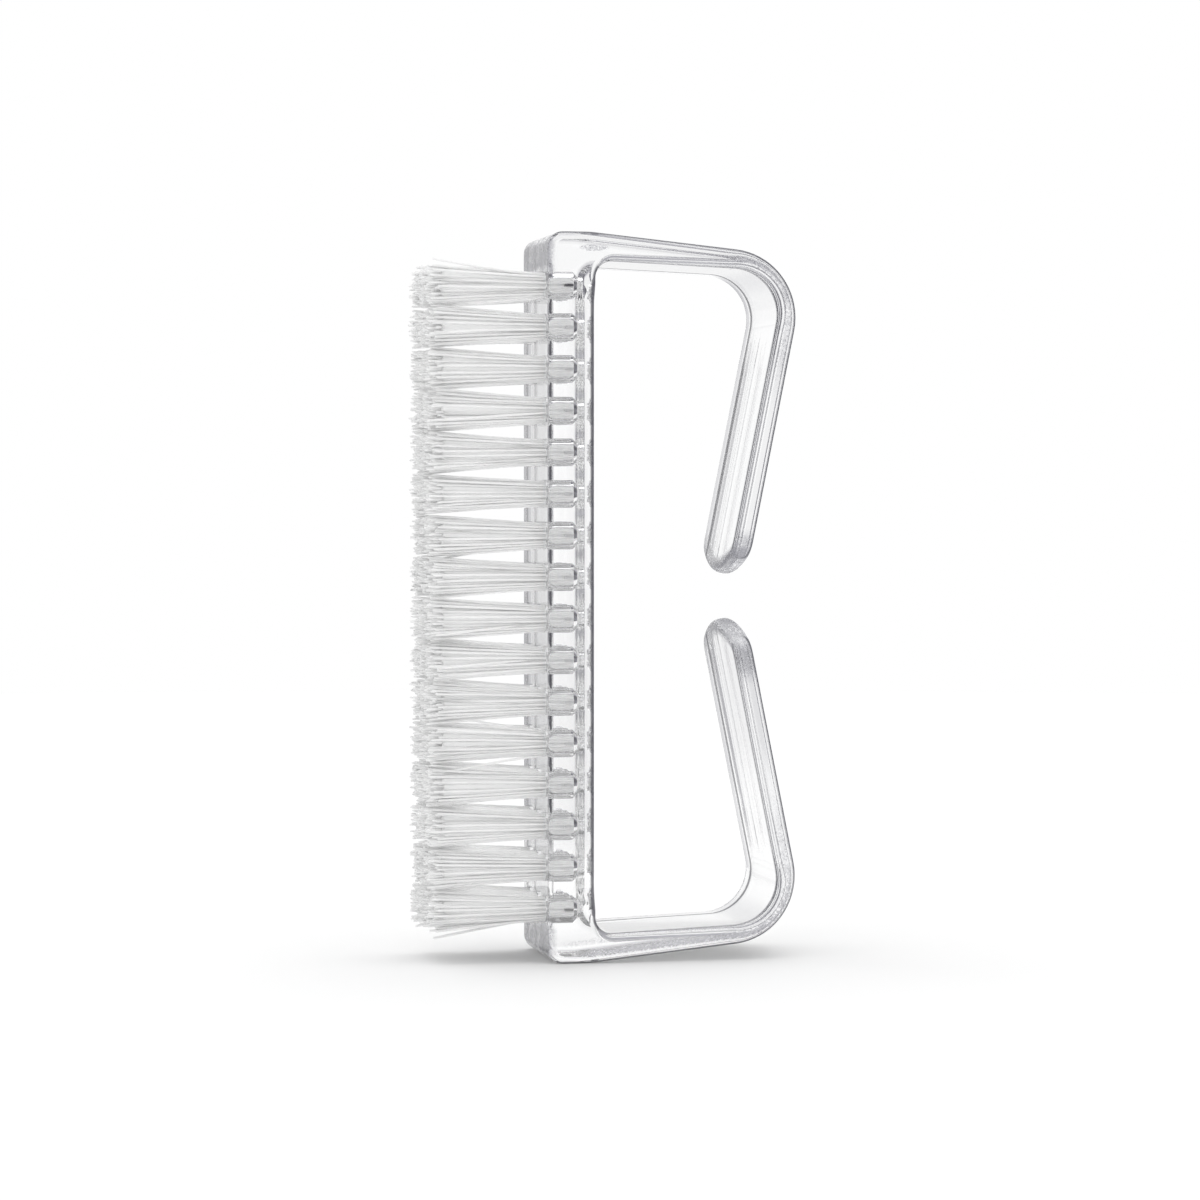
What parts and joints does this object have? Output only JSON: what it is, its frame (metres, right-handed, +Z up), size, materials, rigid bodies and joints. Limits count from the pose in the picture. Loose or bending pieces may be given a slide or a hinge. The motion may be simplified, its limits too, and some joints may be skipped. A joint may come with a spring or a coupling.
{
  "type": "nail brush",
  "caption": "Clear moulded nail brush with rows of nylon tufts and a grip of two inward-bent claws with a gap between their ends.",
  "frame": {"origin": "middle of the flat end that the bristle plate stands on", "axes": "+Z up along the bristle plate, -X the way the bristles point, +X towards the claws of the handle, Y across the brush"},
  "size_m": [0.0489, 0.019, 0.095],
  "materials": {
    "clear_moulding": "polished clear polystyrene",
    "nylon_filament": "white translucent nylon filament",
    "anchor_wire": "bright flat wire"
  },
  "bodies": {
    "root": {"brush_body": "clear_moulding", "tuft_row_01": "nylon_filament", "tuft_row_02": "nylon_filament", "tuft_row_03": "nylon_filament", "tuft_row_04": "nylon_filament", "tuft_row_05": "nylon_filament", "tuft_row_06": "nylon_filament", "tuft_row_07": "nylon_filament", "tuft_row_08": "nylon_filament", "tuft_row_09": "nylon_filament", "tuft_row_10": "nylon_filament", "tuft_row_11": "nylon_filament", "tuft_row_12": "nylon_filament", "tuft_row_13": "nylon_filament", "tuft_row_14": "nylon_filament", "tuft_row_15": "nylon_filament", "tuft_row_16": "nylon_filament", "anchor_row_01": "anchor_wire", "anchor_row_02": "anchor_wire", "anchor_row_03": "anchor_wire", "anchor_row_04": "anchor_wire", "anchor_row_05": "anchor_wire", "anchor_row_06": "anchor_wire", "anchor_row_07": "anchor_wire", "anchor_row_08": "anchor_wire", "anchor_row_09": "anchor_wire", "anchor_row_10": "anchor_wire", "anchor_row_11": "anchor_wire", "anchor_row_12": "anchor_wire", "anchor_row_13": "anchor_wire", "anchor_row_14": "anchor_wire", "anchor_row_15": "anchor_wire", "anchor_row_16": "anchor_wire"}
  },
  "joints": []
}
